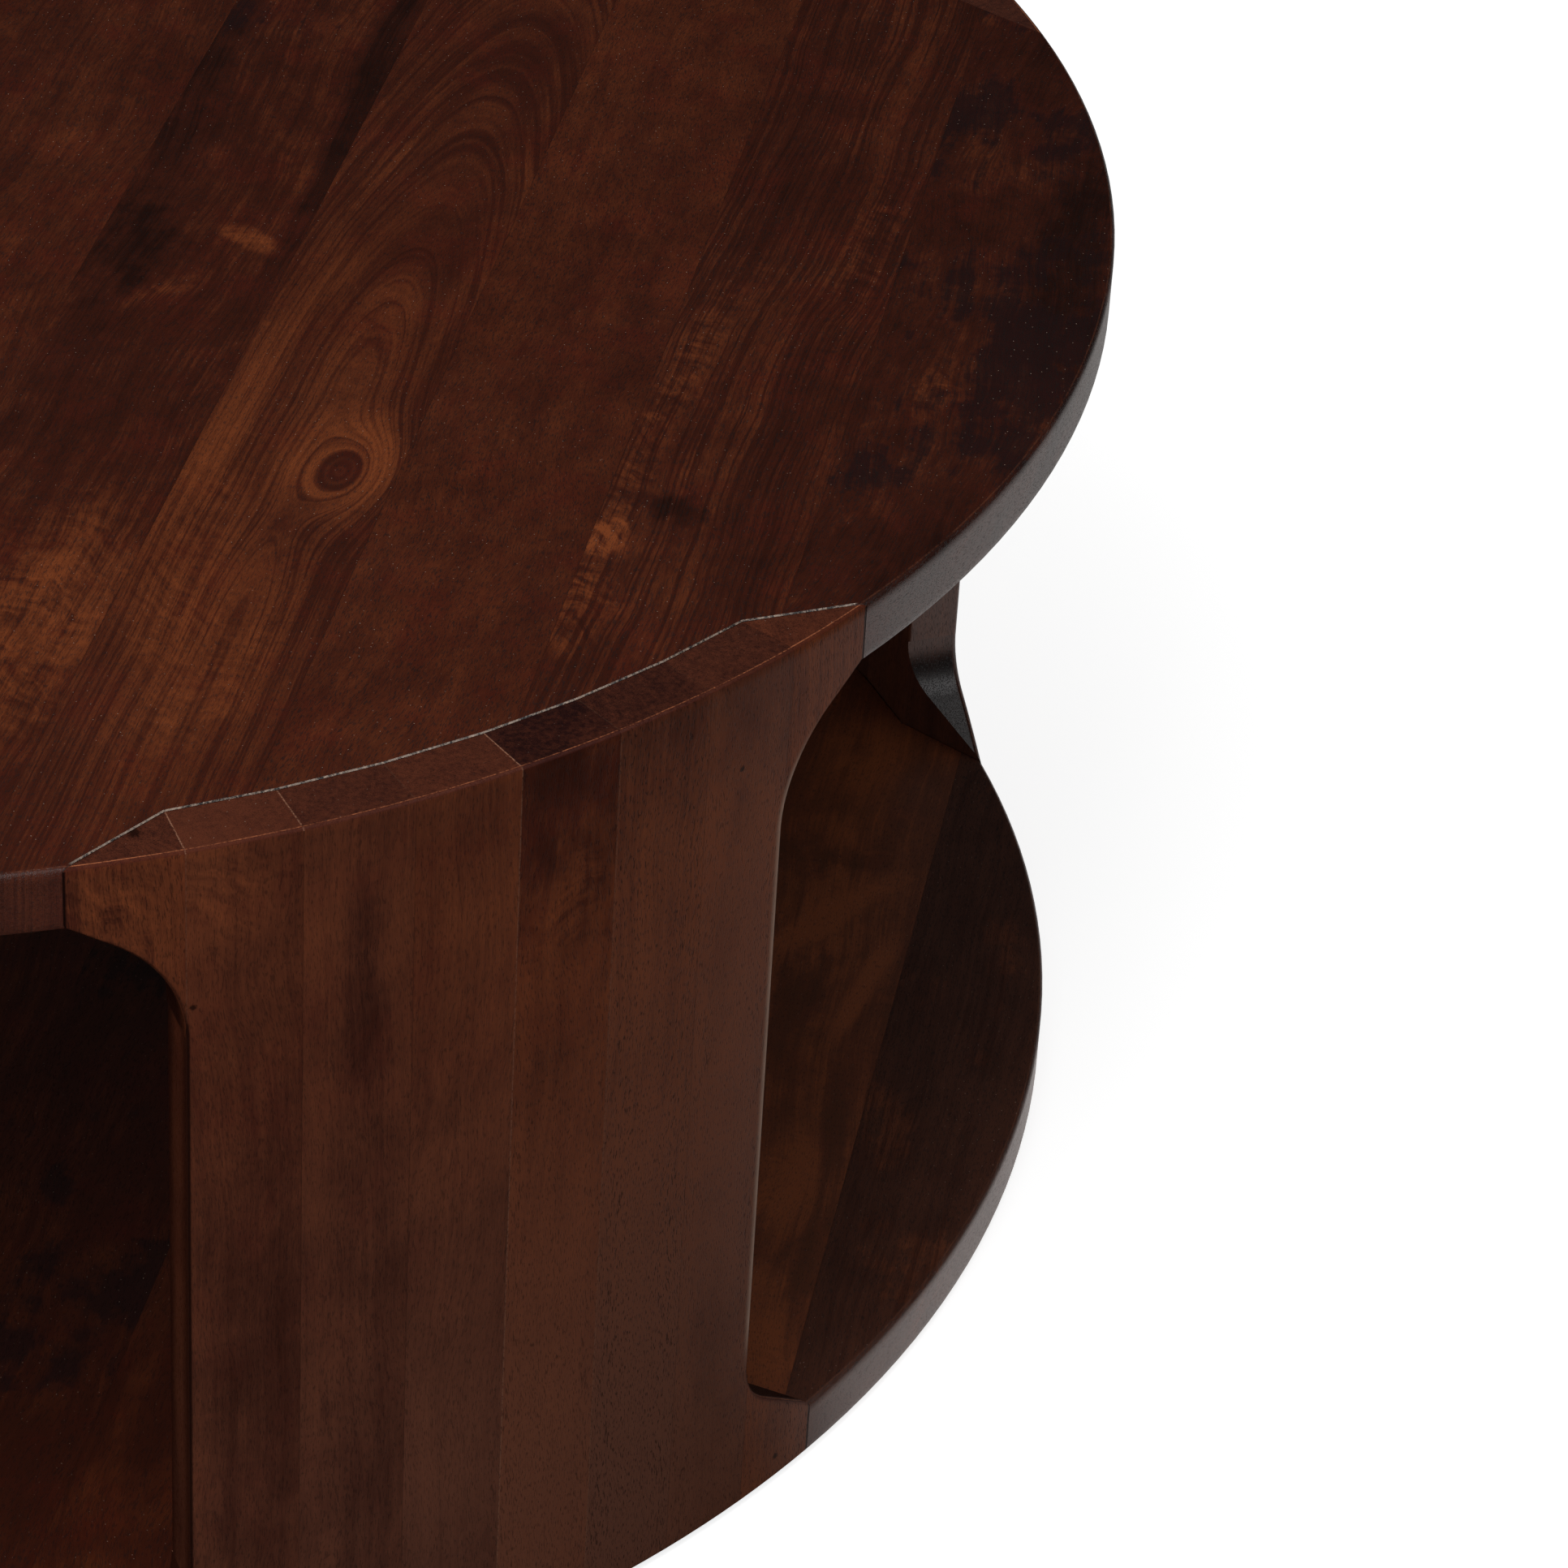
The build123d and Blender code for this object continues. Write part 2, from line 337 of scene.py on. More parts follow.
@dataclass
class Cut:
    """How a board or stave was cut from its log and how it took the stain.

    heart: place of the log's heart, across and in depth from the piece's middle
    lean, rise: drift of the heart across and in depth, in metres per metre of length
    tone: lightness of the piece, where 0 is dark, 0.5 brown and 1 amber
    plum, grey: shares of those stains; the grey is partly a cooler stain and partly a painted
    sheen
    foot: how much greyer an upright piece is at its foot, a painted sheen of the floor
    end: how much lighter its end grain is
    streak, lines, blotch, mottle, pores: strength of each part of the figure
    wander: how far the grain strays from straight
    gloss: specular level of the lacquer
    edge: 1 on ears and -1 on a stave whose right side is an opening with a painted highlight on
    its edge, else 0
    shade: strength of the painted shade on the openings' sides; lift: how thin the stain is all
    over
    glue, end_glue: paleness of the left and right joint's line, on faces and end grain
    patches: soft-edged patches of the figure
    nails: (across, depth, along, radius) of nail holes and pin knots
    knot: (across, along, radius) of a knot, or None
    """

    heart: tuple = (0.0, -0.07)
    lean: float = 0.0
    rise: float = 0.0
    tone: float = 0.5
    plum: float = 0.0
    grey: float = 0.0
    foot: float = 0.0
    end: float = 0.0
    streak: float = 0.3
    lines: float = 0.3
    blotch: float = 0.3
    mottle: float = 0.3
    pores: float = 0.45
    wander: float = 1.0
    gloss: float = 0.5
    edge: float = 0.0
    shade: float = 0.25
    lift: float = 0.0
    glue: tuple = (0.0, 0.0)
    end_glue: tuple = (0.0, 0.0)
    patches: tuple = ()
    nails: tuple = ()
    knot: tuple = None


def settled(index, upright=False):
    """A cut for a piece that has nothing special, different for every index."""
    turn = [(index * step) % 1.0 for step in (0.618, 0.414, 0.732, 0.236, 0.302, 0.123)]
    curly = Patch(0.02 * turn[1], 0.3 * turn[2] - 0.15, 0.03, 0.2, 0.1, 0.8 * turn[4])
    return Cut(
        heart=(0.10 * (turn[0] - 0.5), -0.03 - 0.09 * turn[1]),
        lean=0.03 * (turn[2] - 0.5),
        rise=0.10 * (turn[3] - 0.5),
        tone=0.60 + 0.2 * turn[1] if upright else 0.42 + 0.15 * turn[1],
        plum=0.0 if upright else 0.3 * turn[2] ** 2,
        grey=0.25 if upright else 0.0,
        foot=0.3 if upright else 0.0,
        streak=0.2 + 0.3 * turn[3],
        patches=(curly,) if turn[5] > 0.5 and not upright else (),
    )


def knot_at(cut, sideways, along, ripple):
    """A knot's reach, which is about 1 at its edge, and the shares of knot and halo."""
    knot_across, knot_along, knot_radius = cut.knot
    off = (sideways - knot_across) / knot_radius
    off_along = (along - knot_along) / (KNOT_LENGTH * knot_radius)
    reach = (off * off + off_along * off_along).root()
    knot = 1.0 - (reach + ripple * 0.6).step(0.58, 0.82)
    halo = (1.0 - reach.step(1.0, 2.9)) * (off_along + 0.9).step(-1.4, 1.2)
    return reach, knot, halo


def patched(cut, tone, sideways, along, curls, ragged):
    """Tone with a piece's patches in it. Large ones have calmer edges."""
    for patch in cut.patches:
        off = (sideways - patch.across - (along - patch.along) * patch.slope) / patch.wide
        off_along = (along - patch.along - (sideways - patch.across) * patch.tilt) / patch.long
        fray = ragged * min(1.0, FRAYED_SIZE / max(patch.wide, patch.long))
        inside = 1.0 - ((off * off + off_along * off_along).root() + fray).step(0.25, 1.35)
        tone = tone + inside * (curls * (2.0 * patch.curl) + patch.light)
    return tone


def figure(s, cut, at, shift, grain):
    """Tone, pores, fibres, blotches and bands of a piece, from a point's place in its log.

    Growth bands and lines follow the distance from the log's heart, which bulges round a
    knot. Fibres and pores are noise stretched along the grain, and ripples lie across it.
    """
    across, depth, along = at.across, at.depth, at.along
    in_log = s.vector(across + shift[0], depth + shift[1], along + shift[2])
    coarse = s.noise(s.scaled(in_log, COARSE_SCALE), 2.0) - 0.5
    ripple = s.noise(s.scaled(in_log, RIPPLE_SCALE), 2.0) - 0.5
    cloud = s.noise(s.scaled(in_log, CLOUD_SCALE), 4.0, 0.65) - 0.5
    blotches = s.noise(s.scaled(in_log, (1.0 / grain.blotch_size,) * 3), 3.0) - 0.5
    stray = coarse * COARSE_STRAY + ripple * RIPPLE_STRAY + cloud * CLOUD_STRAY
    sideways = across + stray * cut.wander
    off_across = sideways - (along * cut.lean + cut.heart[0])
    off_depth = (depth - (along * cut.rise + cut.heart[1])).most(LEAST_DEPTH)
    radius = (off_across * off_across + off_depth * off_depth).root()
    if cut.knot:
        reach, knot, halo = knot_at(cut, sideways, along, ripple)
        around = (reach * reach * -0.17).exp()
        radius = radius * (1.0 - around) + reach * (0.75 * cut.knot[2]) * around
    bands = s.noise(s.vector(radius / grain.band_width, shift[0], along * 1.5), 6.0, 0.75) - 0.5
    veins = s.noise(s.vector(radius / grain.ring_width, shift[1], along * 2.5), 2.0) - 0.5
    veins = 1.0 - abs(veins).step(0.01, 0.07)
    hair = s.noise(s.vector(radius / grain.hair_width, shift[1], along * 22.0), 3.0, 0.7) - 0.5
    stretched = s.vector(sideways + shift[0], depth + shift[1], along + shift[2])
    fibre_scale = (1 / grain.fibre_width, 1 / grain.fibre_width, 1 / grain.fibre_length)
    fibres = s.noise(s.scaled(stretched, fibre_scale), 4.0, 0.75) - 0.5
    pore_scale = (1 / grain.pore_width, 1 / grain.pore_width, 1 / grain.pore_length)
    pores = s.noise(s.scaled(stretched, pore_scale), 1.0).step(0.54, 0.66)
    tone = (
        cut.tone
        + bands * (1.7 * cut.streak)
        + hair * (0.9 * cut.streak)
        + fibres * 0.38
        + blotches * (1.6 * cut.blotch)
        + cloud * (1.1 * cut.mottle)
        - veins * (0.30 * cut.lines)
    )
    if cut.patches:
        slant = along + sideways * 0.5 + ripple * 0.05 + cloud * 0.012
        slanted = s.vector(sideways * CURL_SCALE + shift[0], depth * CURL_SCALE,
                           slant / grain.curl_width)
        curls = s.noise(slanted, 4.0, 0.65) - 0.5
        ragged = ripple * 2.2 + cloud * 2.4 + bands * 1.1
        tone = patched(cut, tone, sideways, along, curls, ragged)
    if cut.knot:
        rings = (reach * 19.0 + ripple * 6.0).sine()
        tone = tone + halo * (rings * 0.03 + bands * 1.0 + 0.24)
        tone = tone * (1.0 - knot) + knot * (rings * 0.08 + cloud * 0.3 + 0.46)
    return tone, pores, fibres, blotches, bands


def stains():
    """The stain group's colours by name, with an alpha of 1."""
    group = bpy.context.scene.drumtable_stain
    return SimpleNamespace(**{name: (*getattr(group, name), 1) for name in group.__annotations__})


@dataclass
class Lay:
    """Where a wooden piece lies in the table.

    place, turn: they bring the piece's middle to the origin
    upright: whether its grain stands, as in a stave, or runs along Y, as in a board
    to_seam: works out how far a point (across, X in the piece) is from the nearest joint
    rim_edges: lowest and highest Z of the edges that run along the rim
    """

    place: tuple
    turn: float
    upright: bool
    to_seam: Callable
    rim_edges: tuple = (CAD_BOX[0][2], TOP_Z)


class Point:
    """Sockets for the point of a wooden piece that is being shaded.

    spot, local: its place in the table, and in the piece
    across, depth, along: its place over the piece's width, through it and along the grain
    normal: where the surface faces
    outward, upward: how far it faces away from the table's axis and upwards
    facing: positive where it faces outwards or upwards
    from_axis, inward: distance from the table's axis and from its rim
    beside, on_face: distance from the nearest joint, and 1 unless the surface lies in it
    worn, speck: soft and fine noise, which break up lines
    """

    def __init__(self, s, lay):
        self.spot = s.node("ShaderNodeTexCoord", output="Object")
        self.local = s.node(
            "ShaderNodeMapping", {"vector_type": "TEXTURE"},
            {"Vector": self.spot, "Location": lay.place, "Rotation": (0.0, 0.0, lay.turn)})
        x, y, z = s.parts(self.local)
        if lay.upright:
            self.across, self.depth, self.along = y, x - STAVE_MIDDLE_RADIUS, z
        else:
            self.across, self.depth, self.along = x, z, y
        self.normal = s.node("ShaderNodeNewGeometry", output="Normal")
        normal_x, normal_y, self.upward = s.parts(self.normal)
        self.x, self.y, self.z = s.parts(self.spot)
        self.from_axis = (self.x * self.x + self.y * self.y).root()
        self.inward = TABLE_RADIUS - self.from_axis
        self.outward = (normal_x * self.x + normal_y * self.y) / self.from_axis
        self.facing = self.outward.most(0.0) + self.upward.most(0.0)
        sideward = abs(normal_x)
        if lay.upright:
            sideward = abs(normal_y * cos(lay.turn) - normal_x * sin(lay.turn))
        self.on_face = 1.0 - sideward.step(0.5, 0.8)
        self.beside = lay.to_seam(self.across, x)
        self.worn = s.noise(s.scaled(self.local, WORN_SCALE), 2.0)
        self.speck = s.noise(s.scaled(self.spot, SPECK_SCALE), 1.0)


def rounded(s, at, rim_edges):
    """Normal of a piece whose edges along the table's rim are rubbed round.

    Near the rim it turns smoothly from outwards to upwards over a few millimetres of an
    upper edge, and to downwards over a lower edge. The faces that look neither outwards
    nor upwards keep their own normal.
    """
    low, high = rim_edges
    inward = at.inward / ROUND_INWARD
    below = (high - at.z) / ROUND_UPPER
    above = (at.z - low) / ROUND_LOWER
    out = (1.0 - inward.most(0.0)).most(0.0) ** 2
    up = (1.0 - below).most(0.0) ** 2 - (1.0 - above).most(0.0) ** 2 * 0.6
    shaped = s.vector(at.x / at.from_axis * out, at.y / at.from_axis * out, up)
    near_rim = (1.0 - inward.step(0.55, 1.0)) * at.facing.step(0.3, 0.6)
    mixed = s.node("ShaderNodeMix", {"data_type": "VECTOR"},
                   {"Factor": near_rim, 4: at.normal, 5: shaped}, output=1)
    return s.node("ShaderNodeVectorMath", {"operation": "NORMALIZE"}, {0: mixed})


def stained(s, cut, at, stain, tone, blotches, bands):
    """Colour of the stained wood, from dark through brown and red to amber."""
    patchy = s.noise(s.scaled(at.local, PATCHY_SCALE), 4.0, 0.7)
    brown = s.blend(tone.step(-0.20, 0.60), stain.dark, stain.brown)
    brown = s.blend(patchy.step(0.45, 0.70) * tone.step(0.0, 0.6) * 0.6, brown, stain.red)
    colour = s.blend(tone.step(0.40, 1.15), brown, stain.amber)
    if cut.plum:
        cool = blotches + bands * 0.7 + patchy * 0.5 - 0.25
        cool = cool.step(0.28 - cut.plum, 0.39 - cut.plum)
        colour = s.blend(cool * 0.8, colour, stain.plum)
    # Painted sheen: grey brown mixed in, most at an upright piece's foot, stands in for the
    # floor's reflection; the grey share is partly a cooler stain
    share = cut.grey
    if cut.foot:
        share = cut.grey + (1.0 - at.along.step(*FOOT)) * cut.foot
    if cut.grey or cut.foot:
        colour = s.blend(share, colour, s.blend(tone.step(0.0, 0.9), stain.dark, stain.grey))
    if cut.lift:
        colour = s.blend(cut.lift, colour, stain.worn)
    return colour


def end_grain(s, cut, at, stain, tone, colour):
    """Adds the staves' ends, cooler and speckled."""
    grit = s.noise(s.scaled(at.spot, GRIT_SCALE), 4.0, 0.75)
    ends = s.blend((tone - cut.tone) * 0.9 + grit * 1.9 + cut.end - 0.25, stain.plum, stain.end)
    return s.blend(abs(at.upward).step(0.5, 0.9) * 0.85, colour, ends)


def joints(s, cut, at, stain, seam_width, colour):
    """Adds glued joints, hardly darker than the wood, with a pale line of glue in some."""
    seam = (1.0 - at.beside.step(0.0, seam_width)) * at.on_face
    colour = s.blend(seam * 0.35, colour, stain.pore)
    if not any(cut.glue + cut.end_glue):
        return colour
    side = at.across.step(-MIDDLE, MIDDLE)
    upward = at.upward.step(0.2, 0.6)
    on_faces = side * (cut.glue[1] - cut.glue[0]) + cut.glue[0]
    on_ends = side * (cut.end_glue[1] - cut.end_glue[0]) + cut.end_glue[0]
    pale = on_faces * (1.0 - upward) + on_ends * upward
    line = 1.0 - (at.beside + (at.worn - 0.5) * GLUE_WANDER).step(*GLUE_LINE)
    broken = (at.worn * 0.6 + at.speck).step(0.55, 0.90)
    return s.blend(line * at.on_face * pale * broken, colour, stain.glue)


def nail_holes(s, cut, at, stain, colour):
    """Adds nail holes and pin knots."""
    for across, depth, along, size in cut.nails:
        off = s.vector((at.across - across) / size, (at.depth - depth) / size,
                       (at.along - along) / size)
        off = s.node("ShaderNodeVectorMath", {"operation": "LENGTH"}, {0: off}, output=1)
        inside = 1.0 - (off + at.speck - 0.5).step(0.3, 1.0)
        colour = s.blend(inside * 0.8, colour, stain.pore)
    return colour


def opening(s, cut, at, stain, colour):
    """Adds the leg's chamfer, painted shade on its openings' sides, the ears' tips and a painted
    highlight on a lit edge.
    """
    chamfer = (1.0 - at.inward.step(*CHAMFER_END)) * at.upward.step(0.3, 0.5)
    colour = s.blend(chamfer * 0.30, colour, stain.red)
    # Painted shade: the sides are darkened, most where they turn into the faces
    side_shade = (1.0 - abs(at.outward).step(0.80, 0.985)) * (1.0 - at.upward.step(0.2, 0.5))
    turned = abs(at.depth / (STAVE_THICKNESS / 2)).step(0.1, 1.0)
    colour = s.blend(side_shade * (turned * 0.5 + 0.45) * cut.shade, colour, stain.dark)
    # The gap beside an ear's tip
    tip = (EAR_WIDTH - at.beside).step(*TIP_GAP)
    colour = s.blend((1.0 - tip) * at.outward.step(0.8, 0.9) * 0.9, colour, stain.pore)
    if not cut.edge:
        return colour
    # Painted highlight where the right edge catches the light: a band beside the straight side
    # and round the flare
    off = at.beside * cut.edge - UPPER_EAR_RADIUS
    rise = (at.z - UPPER_EAR_START).most(0.0)
    within = (off * off + rise * rise).root() - UPPER_EAR_RADIUS
    lit = (1.0 - within.step(*LIT_EDGE)) ** 2 * at.across.step(0.0, 0.001)
    lit = lit * at.z.step(*LIT_FROM) * (1.0 - at.z.step(*LIT_TO))
    return s.blend(lit * (at.worn * 0.3 + 0.28), colour, stain.pale_and_highlight)


def rim(s, lay, at, stain, colour):
    """Adds thinner stain on a board's rim and a pale broken line along the upper edge, partly
    worn finish and partly a painted highlight.
    """
    strength = 0.9
    if not lay.upright:
        strength = 0.15
        rubbed = at.outward.step(0.85, 0.97) * (at.worn * 0.4 + at.speck).step(0.45, 0.9)
        colour = s.blend(rubbed * 0.20, colour, stain.rubbed)
    # Painted highlight, partly worn finish: a pale broken line along the upper edge, strongest on
    # the staves
    line = abs(at.inward - RIM_CHAMFER - (at.worn - 0.5) * EDGE_WANDER).step(*EDGE_LINE)
    line = (1.0 - line) * at.upward.step(0.3, 0.6)
    broken = (at.worn * 0.8 + at.speck * 0.6).step(0.50, 0.85)
    return s.blend(line * broken * strength, colour, stain.worn)


def notch(s, lay, at, stain, colour):
    """Adds the notches' edges: a board's has dashes of chipped finish and painted highlight among
    painted shade, the leg's is a painted shade.
    """
    eased = at.upward.step(0.15, 0.45) * (1.0 - at.upward.step(0.80, 0.97))
    eased = eased * at.inward.step(*NOTCH_START)
    if lay.upright:
        # Painted shade on the leg's side of the groove
        return s.blend(eased * 0.8, colour, stain.pore)
    # Dashes: the pale is partly chipped finish and partly a painted highlight, the dark is
    # painted shade in the groove
    dashes = s.noise(s.scaled(at.spot, DASH_SCALE), 3.0, 0.7)
    chipped = (dashes + at.worn * 0.25).step(0.50, 0.74) * (at.speck * 0.9 + 0.20)
    return s.blend(eased, colour, s.blend(chipped, stain.pore, stain.pale_and_highlight))


def dusty(s, at, stain, blotches, colour):
    """Adds specks of dust of every brightness on what faces up."""
    dust = s.node("ShaderNodeTexVoronoi", {"feature": "F1", "voronoi_dimensions": "2D"},
                  {"Vector": s.scaled(at.spot, DUST_SCALE), "Scale": 1.0})
    bright = (at.worn * 0.7 + at.speck * 0.3 + blotches).step(0.30, 0.85)
    speck = (1.0 - dust.step(*DUST_SIZE)) * at.upward.step(0.5, 0.9)
    return s.blend(speck * bright * 0.7, colour, stain.pale_and_highlight)


def wood(name, cut, seed, lay):
    """Material of one wooden piece. The seed picks its place in the figure."""
    stain = stains()
    grain = bpy.context.scene.drumtable_grain
    material = bpy.data.materials.new(name)
    s = Shader(material)
    at = Point(s, lay)
    shift = (7.31 * seed % 5.0, 3.17 * seed % 3.0, 5.77 * seed % 7.0)
    tone, pores, fibres, blotches, bands = figure(s, cut, at, shift, grain)
    colour = stained(s, cut, at, stain, tone, blotches, bands)
    if lay.upright:
        colour = end_grain(s, cut, at, stain, tone, colour)
    colour = s.blend(pores * cut.pores, colour, stain.pore)
    colour = joints(s, cut, at, stain, grain.seam_width, colour)
    colour = nail_holes(s, cut, at, stain, colour)
    if lay.upright:
        colour = opening(s, cut, at, stain, colour)
    colour = rim(s, lay, at, stain, colour)
    colour = notch(s, lay, at, stain, colour)
    colour = dusty(s, at, stain, blotches, colour)
    bump = s.node(
        "ShaderNodeBump", None,
        {"Strength": 0.5, "Distance": grain.relief, "Height": fibres * 0.4 - pores * 0.8,
         "Normal": rounded(s, at, lay.rim_edges)})
    surface = s.node(
        "ShaderNodeBsdfPrincipled", None,
        {"Base Color": colour, "Roughness": blotches * 0.12 + pores * 0.15 + grain.roughness,
         "Normal": bump, "Specular IOR Level": cut.gloss})
    s.node("ShaderNodeOutputMaterial", None, {"Surface": surface})
    return material


def dress(node_name, material):
    """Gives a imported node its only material."""
    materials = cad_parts[node_name].data.materials
    materials.clear()
    materials.append(material)


def board_material(node_name, cut, seed):
    """Wood of a board along Y. Its joints are its two long edges."""
    low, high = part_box(node_name)
    middle = ((low.x + high.x) / 2, 0.0, (low.z + high.z) / 2)
    half_width = (high.x - low.x) / 2
    return wood(node_name, cut, seed, Lay(
        middle, 0.0, False, lambda across, x: half_width - abs(across), (low.z, high.z)))


def stave_material(node_name, cut, seed, turn, half_angle):
    """Wood of an upright stave. Its joints are planes through the table's axis."""
    return wood(node_name, cut, seed, Lay(
        (0, 0, 0), turn, True, lambda across, x: abs(x * tan(half_angle) - abs(across))))


# How the boards and staves at the front right were cut, and what marks them
TOP_CUTS = {
    "top_board_08": Cut((-0.08, -0.05), tone=0.52, streak=0.25, lines=0.2, mottle=0.4),
    "top_board_09": Cut(
        (-0.12, -0.04), lean=0.02, tone=0.53, plum=0.14, streak=0.4, lines=0.4, mottle=0.6,
        patches=(
            Patch(-0.034, 0.10, 0.014, 0.13, -0.35),
            Patch(0.034, 0.12, 0.010, 0.20, -0.40),
            Patch(-0.028, -0.050, 0.019, 0.045, -0.35),
            Patch(0.0130, -0.032, 0.014, 0.0065, 0.30, 0.5, tilt=-0.45),
            Patch(-0.006, -0.085, 0.008, 0.022, 0.14, 0.4, 0.5),
            Patch(-0.022, -0.15, 0.020, 0.10, -0.12),
            Patch(0.012, -0.33, 0.034, 0.10, 0.28, 0.5),
        )),
    "top_board_10": Cut(
        (0.0095, -0.0133), rise=-0.13, tone=0.55, streak=0.42, lines=0.5, blotch=0.2,
        wander=0.35,
        patches=(
            Patch(-0.010, -0.03, 0.008, 0.05, 0.14, 0.0, 0.25),
            Patch(-0.026, -0.14, 0.010, 0.11, 0.17, 0.0, 0.10),
            Patch(-0.022, -0.26, 0.018, 0.09, 0.22, 0.3),
            Patch(0.006, -0.10, 0.020, 0.06, 0.10, 0.2),
            Patch(0.033, -0.07, 0.005, 0.07, 0.12),
            Patch(0.004, -0.34, 0.030, 0.09, 0.20, 0.3),
            Patch(0.020, -0.250, 0.016, 0.025, -0.12),
        ),
        knot=(0.0200, -0.199, 0.0110)),
    "top_board_11": Cut((0.03, -0.11), tone=0.56, streak=0.2, lines=0.1, blotch=0.12,
                        mottle=0.35, pores=0.55),
    "top_board_12": Cut(
        (-0.15, -0.05), lean=0.03, tone=0.50, streak=0.42, lines=0.7, mottle=0.4, wander=0.7,
        patches=(
            Patch(-0.026, -0.12, 0.010, 0.16, 0.10, 0.6, 0.06),
            Patch(-0.031, -0.222, 0.011, 0.011, 0.40, 0.7),
            Patch(-0.010, -0.193, 0.011, 0.009, -0.40),
            Patch(0.024, 0.02, 0.012, 0.10, 0.10, 0.5),
            Patch(-0.030, -0.28, 0.012, 0.030, 0.18, 0.6),
        )),
    "top_board_13": Cut(
        (0.1, -0.05), tone=0.40, plum=0.26, streak=0.4, lines=0.3, blotch=0.6, mottle=0.8,
        wander=1.6,
        patches=(Patch(-0.020, -0.078, 0.013, 0.032, 0.20, 0.5),
                 Patch(0.030, 0.03, 0.022, 0.09, -0.35),
                 Patch(-0.012, 0.10, 0.016, 0.060, 0.15, 0.2))),
}
SHELF_CUTS = {
    "shelf_board_11": Cut(
        (-0.05, -0.03), lean=-0.04, tone=0.66, streak=0.9, lines=0.4, blotch=0.5, mottle=1.0,
        lift=0.22,
        patches=(
            Patch(0.011, 0.102, 0.012, 0.035, 0.60, 0.8, 0.7),
            Patch(0.033, 0.040, 0.007, 0.045, 0.70, 0.3, 0.12),
            Patch(0.002, 0.025, 0.014, 0.045, -0.60, 0.3),
            Patch(-0.002, 0.231, 0.020, 0.030, 0.30, 0.4),
            Patch(-0.007, 0.145, 0.026, 0.015, -0.50, 0.3),
            Patch(0.017, -0.097, 0.015, 0.040, 0.45, 0.9),
            Patch(0.037, -0.154, 0.012, 0.030, -0.50),
            Patch(0.029, -0.205, 0.015, 0.030, 0.40, 0.7),
            Patch(0.035, -0.060, 0.010, 0.040, -0.35),
        )),
    "shelf_board_12": Cut((0.06, -0.08), tone=0.72, plum=0.42, streak=0.7, lines=0.5,
                          blotch=0.3, mottle=0.8, grey=0.3, wander=0.7, lift=0.06),
}
STAVE_CUTS = {
    "front_right_stave_1": Cut(
        (0.05, -0.06), tone=0.64, streak=0.25, lines=0.15, grey=0.28, foot=0.26, pores=0.35,
        end=0.15, end_glue=(0.8, 0.7), glue=(0.15, 0.0),
        nails=((-0.019, 0.0124, 0.343, 0.0018),),
        patches=(Patch(-0.004, 0.385, 0.020, 0.03, 0.10, 0.5),
                 Patch(0.004, 0.17, 0.03, 0.09, -0.14))),
    "front_right_stave_2": Cut(
        (-0.06, -0.05), tone=0.64, streak=0.25, lines=0.15, grey=0.32, foot=0.36, pores=0.35,
        end=-0.10, end_glue=(0.7, 0.1),
        patches=(Patch(-0.004, 0.10, 0.016, 0.05, -0.06),
                 Patch(0.004, 0.33, 0.009, 0.05, -0.16))),
    "front_right_stave_3": Cut(
        (0.09, -0.05), tone=0.70, streak=0.25, lines=0.15, grey=0.26, foot=0.55, pores=0.35,
        end_glue=(0.1, 0.9), glue=(0.0, 0.3)),
    "front_right_stave_4": Cut(
        (0.02, -0.10), lean=0.08, tone=0.78, streak=0.25, lines=0.10, grey=0.15, foot=0.65,
        end=-0.08, end_glue=(0.9, 0.1), glue=(0.3, 0.2),
        patches=(Patch(0.0, 0.44, 0.06, 0.095, -0.50), Patch(0.0, 0.05, 0.07, 0.17, 0.20),
                 Patch(0.004, 0.345, 0.012, 0.03, 0.12, 0.5, 0.4))),
    "front_right_stave_5": Cut(
        (-0.10, -0.03), tone=0.84, streak=0.2, lines=0.3, grey=0.42, foot=0.55, pores=0.6,
        end=-0.10, end_glue=(0.1, 0.1), glue=(0.2, 0.0),
        patches=(Patch(0.0, 0.42, 0.06, 0.05, -0.14), Patch(0.0, 0.10, 0.07, 0.17, 0.18))),
    "front_right_stave_6": Cut(
        (0.10, -0.04), tone=0.87, streak=0.15, lines=0.1, grey=0.48, foot=0.40, edge=-1.0,
        nails=((-0.0034, 0.0127, 0.368, 0.0018),),
        patches=(Patch(0.0, 0.42, 0.05, 0.05, -0.14), Patch(0.0, 0.29, 0.02, 0.05, -0.08),
                 Patch(0.004, 0.09, 0.02, 0.06, -0.16))),
    "front_right_upper_ears": Cut(
        (0.02, -0.05), tone=0.72, streak=0.4, lines=0.3, blotch=0.5, grey=0.2, edge=1.0,
        end_glue=(0.8, 0.0), glue=(0.15, 0.0), nails=((-0.1358, -0.0215, 0.409, 0.0040),),
        patches=(Patch(-0.145, 0.385, 0.022, 0.030, 0.05, 0.6),)),
    "front_right_lower_ears": Cut(
        (0.03, -0.05), tone=0.94, streak=0.4, lines=0.3, blotch=0.4, grey=0.6,
        nails=((0.1466, -0.0078, 0.014, 0.0022),)),
}
# The leg at the front right is the dullest, and its openings' sides get the strongest painted
# shade
for dulled in STAVE_CUTS.values():
    dulled.gloss = 0.07
    dulled.shade = 1.0


def dress_boards(prefix, cuts, first_index, first_seed):
    """Puts stained wood on every board whose name starts with prefix."""
    for number, name in enumerate(sorted(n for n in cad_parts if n.startswith(prefix))):
        cut = cuts.get(name, settled(first_index + number))
        dress(name, board_material(name, cut, first_seed + number))


class DRUMTABLE_OT_top(Operator):
    """Stained boards of the top"""

    bl_idname = "drumtable.top"
    bl_label = "Top boards"

    def execute(self, context):
        dress_boards("top_", TOP_CUTS, 0, 1.0)
        return {"FINISHED"}


